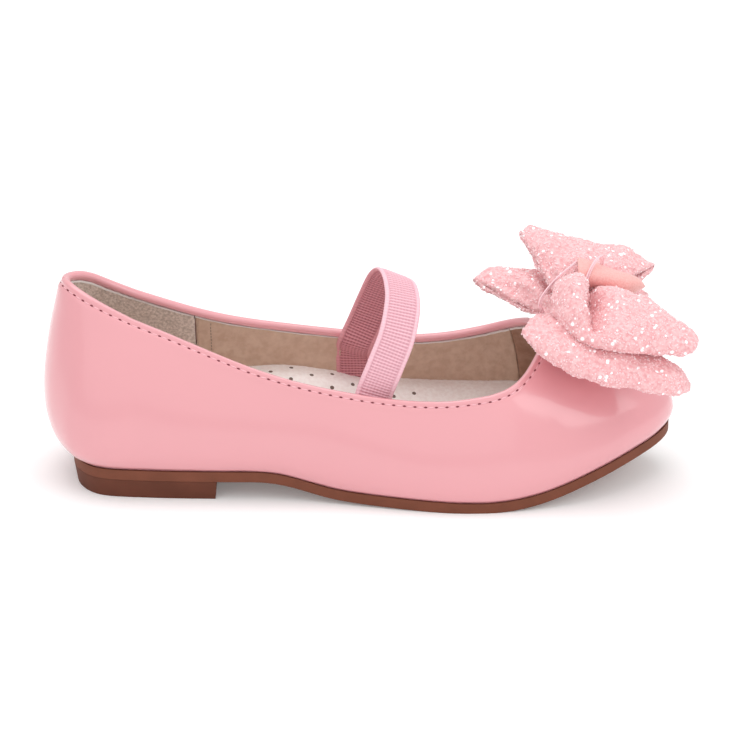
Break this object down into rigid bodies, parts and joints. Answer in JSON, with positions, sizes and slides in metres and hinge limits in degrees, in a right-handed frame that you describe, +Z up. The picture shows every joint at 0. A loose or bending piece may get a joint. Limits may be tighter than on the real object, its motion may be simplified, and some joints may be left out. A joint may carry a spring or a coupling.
{
  "type": "ballerina slipper",
  "caption": "Child's patent ballerina slipper with a flat rubber sole, low heel block, elastic instep strap and a pinched cloth bow on the vamp.",
  "frame": {"origin": "centre of the heel block's tread, on the ground", "axes": "+X towards the toe, +Y to the medial side of this right shoe, +Z up"},
  "size_m": [0.205, 0.0696, 0.0726],
  "materials": {
    "outsole_rubber": "satin moulded rubber",
    "heel_rubber": "satin moulded rubber",
    "spring_steel": "pressed strip",
    "filler_felt": "matt felt",
    "fibre_board": "matt fibre board",
    "patent_leather": "glossy patent coating",
    "suede_lining": "brushed suede",
    "vamp_lining": "matt lining leather",
    "leather_lining": "matt lining leather",
    "foam": "cut foam",
    "sock_leather": "soft perforated leather",
    "elastic": "woven ribbed elastic",
    "glitter_cloth": "fluffy glitter cloth with sequins",
    "satin": "satin ribbon",
    "thread": "fine twisted thread"
  },
  "bodies": {
    "shoe": {"outsole": "outsole_rubber", "heel_block": "heel_rubber", "shank": "spring_steel", "bottom_filler": "filler_felt", "insole_board": "fibre_board", "upper": "patent_leather", "topline_binding": "patent_leather", "heel_counter": "fibre_board", "toe_puff": "fibre_board", "heel_lining": "suede_lining", "vamp_lining": "vamp_lining", "quarter_lining_lateral": "leather_lining", "quarter_lining_medial": "leather_lining", "footbed": "foam", "sock_lining": "sock_leather", "strap_tail_lateral": "elastic", "strap_tail_medial": "elastic", "bow_lower_strip": "glitter_cloth", "bow_upper_strip": "glitter_cloth", "bow_pad": "filler_felt", "centre_ribbon": "satin", "tie_thread_front": "thread", "tie_thread_back": "thread"},
    "strap": {"elastic_strap": "elastic"}
  },
  "joints": [
    {"name": "strap_swing", "type": "hinge", "parent": "shoe", "child": "strap", "pos_m": [0.071, -0.02, 0.0335], "axis": [-0.1441, 0.9881, 0.054], "range_deg": [-20, 18], "stiffness_Nm_per_rad": 0.002}
  ]
}
